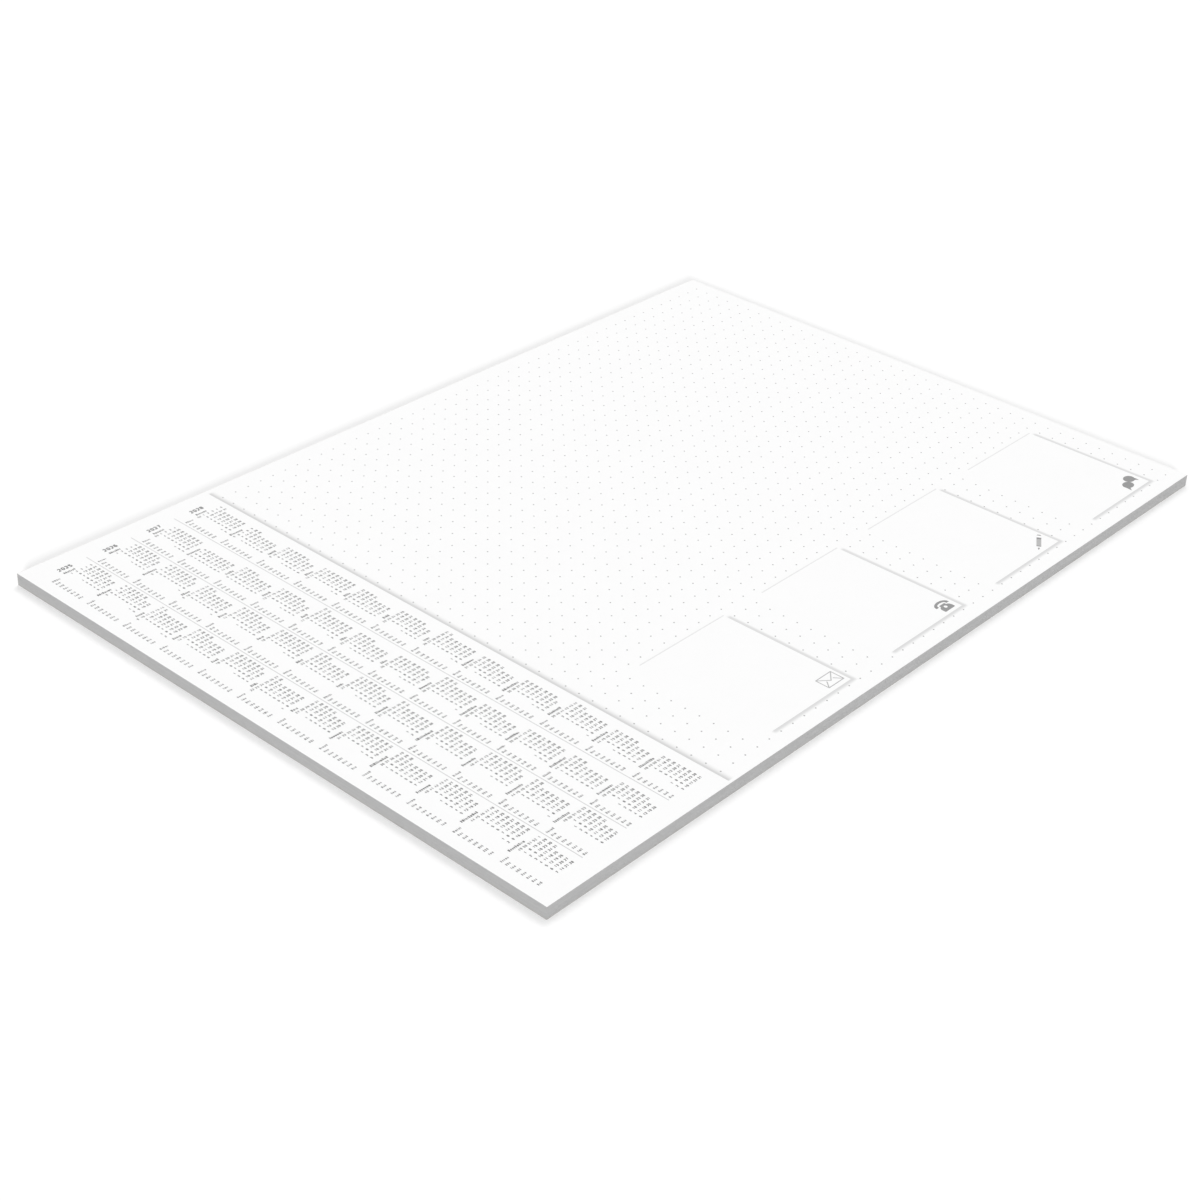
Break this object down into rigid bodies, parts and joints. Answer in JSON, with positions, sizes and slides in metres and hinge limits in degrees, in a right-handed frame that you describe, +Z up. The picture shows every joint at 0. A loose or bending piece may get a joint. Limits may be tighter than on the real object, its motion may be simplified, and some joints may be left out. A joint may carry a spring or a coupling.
{
  "type": "desk pad calendar",
  "caption": "Flat desk pad of glued tear-off sheets on a backing board, printed with a calendar strip, a dot grid and note panels.",
  "frame": {"origin": "middle of the underside", "axes": "+X along the long side in reading direction, +Y towards the glued head edge at the top of the page, +Z up out of the writing face"},
  "size_m": [0.6, 0.4206, 0.008],
  "materials": {
    "sheets": "smooth uncoated white writing paper with light grey print, cut edges reading as plain grey",
    "board": "matte grey pulp board",
    "glue": "dried milky padding glue with a soft sheen"
  },
  "bodies": {
    "root": {"sheet_block": "sheets", "backing_board": "board", "glue_strip": "glue"}
  },
  "joints": []
}
